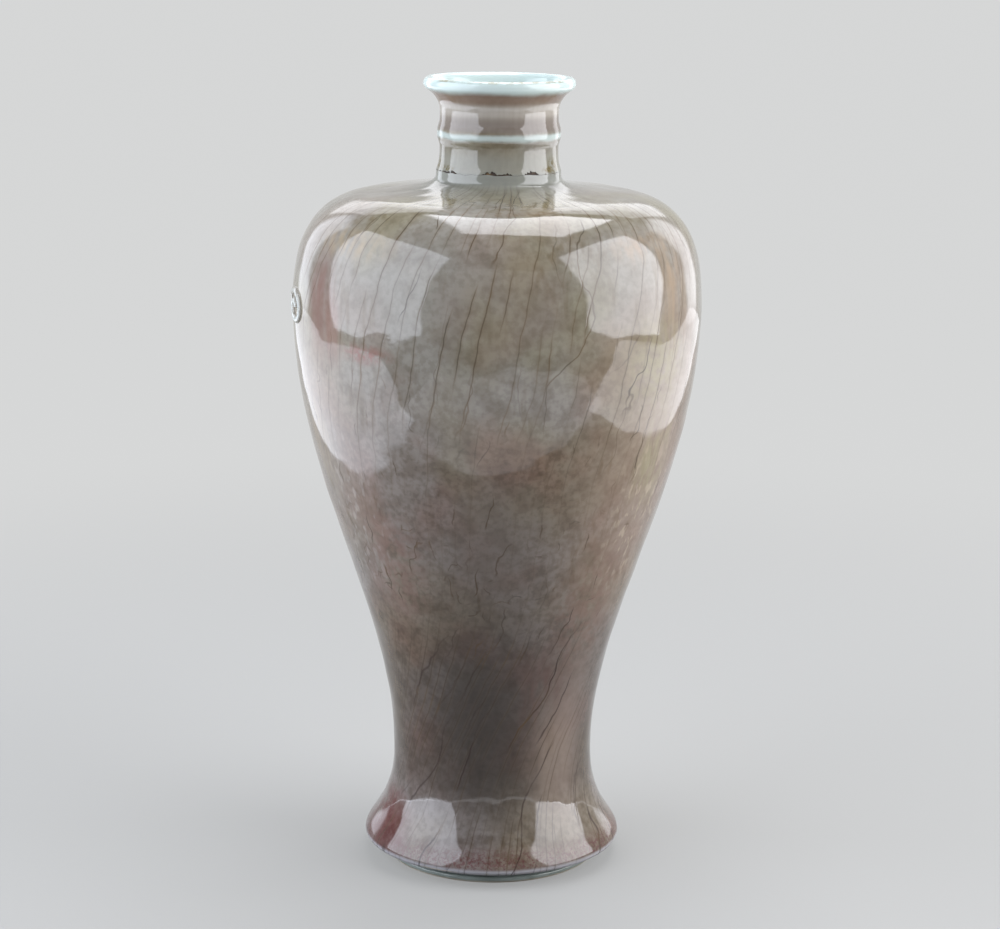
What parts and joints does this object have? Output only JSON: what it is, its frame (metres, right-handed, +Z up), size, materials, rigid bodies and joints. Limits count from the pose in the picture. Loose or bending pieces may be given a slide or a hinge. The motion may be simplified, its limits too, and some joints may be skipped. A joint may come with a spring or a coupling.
{
  "type": "meiping vase",
  "caption": "Glazed porcelain meiping vase: flared foot on a turned foot ring, slender waist, full rounded shoulder, short trumpet neck with a string ring and a rolled lip.",
  "frame": {"origin": "centre of the foot ring, on the ground", "axes": "+Z up along the axis of the vase, -Y towards the picture's viewer, the scroll on the -X side"},
  "size_m": [0.1687, 0.168, 0.3297],
  "materials": {
    "taupe_glaze": "high-gloss copper-red glaze fired to taupe and pink, with long brown crackle",
    "white_glaze": "high-gloss white glaze with a pale blue-green cast",
    "celadon_glaze": "thin pale celadon glaze, wiped off where it meets the ground",
    "slip": "fired porcelain slip, matt"
  },
  "bodies": {
    "root": {"foot_ring": "celadon_glaze", "base_disc": "celadon_glaze", "base_slip": "slip", "flared_foot": "taupe_glaze", "waist_slip": "slip", "lower_body": "taupe_glaze", "body_slip": "slip", "upper_body": "taupe_glaze", "neck_slip": "slip", "neck": "taupe_glaze", "string_ring": "white_glaze", "lip_roll": "white_glaze", "belly_scroll": "white_glaze"}
  },
  "joints": []
}
